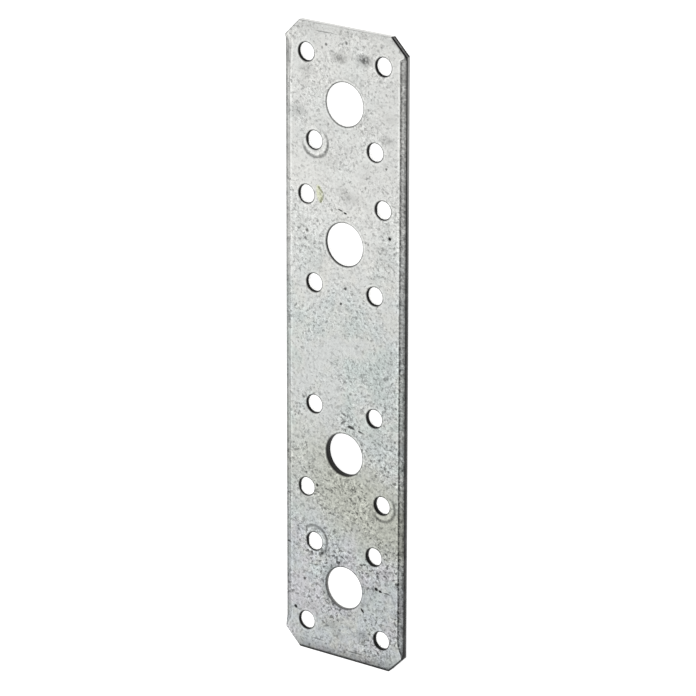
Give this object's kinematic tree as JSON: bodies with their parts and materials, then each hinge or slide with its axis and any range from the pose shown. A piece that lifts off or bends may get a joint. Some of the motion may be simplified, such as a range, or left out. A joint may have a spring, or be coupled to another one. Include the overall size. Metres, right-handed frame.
{
  "type": "mending plate",
  "caption": "Flat oblong mending plate with clipped corners, large bolt holes along its centre line and small staggered screw holes down both sides.",
  "frame": {"origin": "middle of the back face, the flat face that the plate lies on", "axes": "+X across the plate, +Y along the plate towards the end that the picture shows at the top, +Z out of the front face with the rolled long edges"},
  "size_m": [0.04, 0.18, 0.002],
  "materials": {
    "galvanised_sheet": "galvanised zinc, dull satin with a fine grey mottle"
  },
  "bodies": {
    "root": {"mending_plate": "galvanised_sheet"}
  },
  "joints": []
}
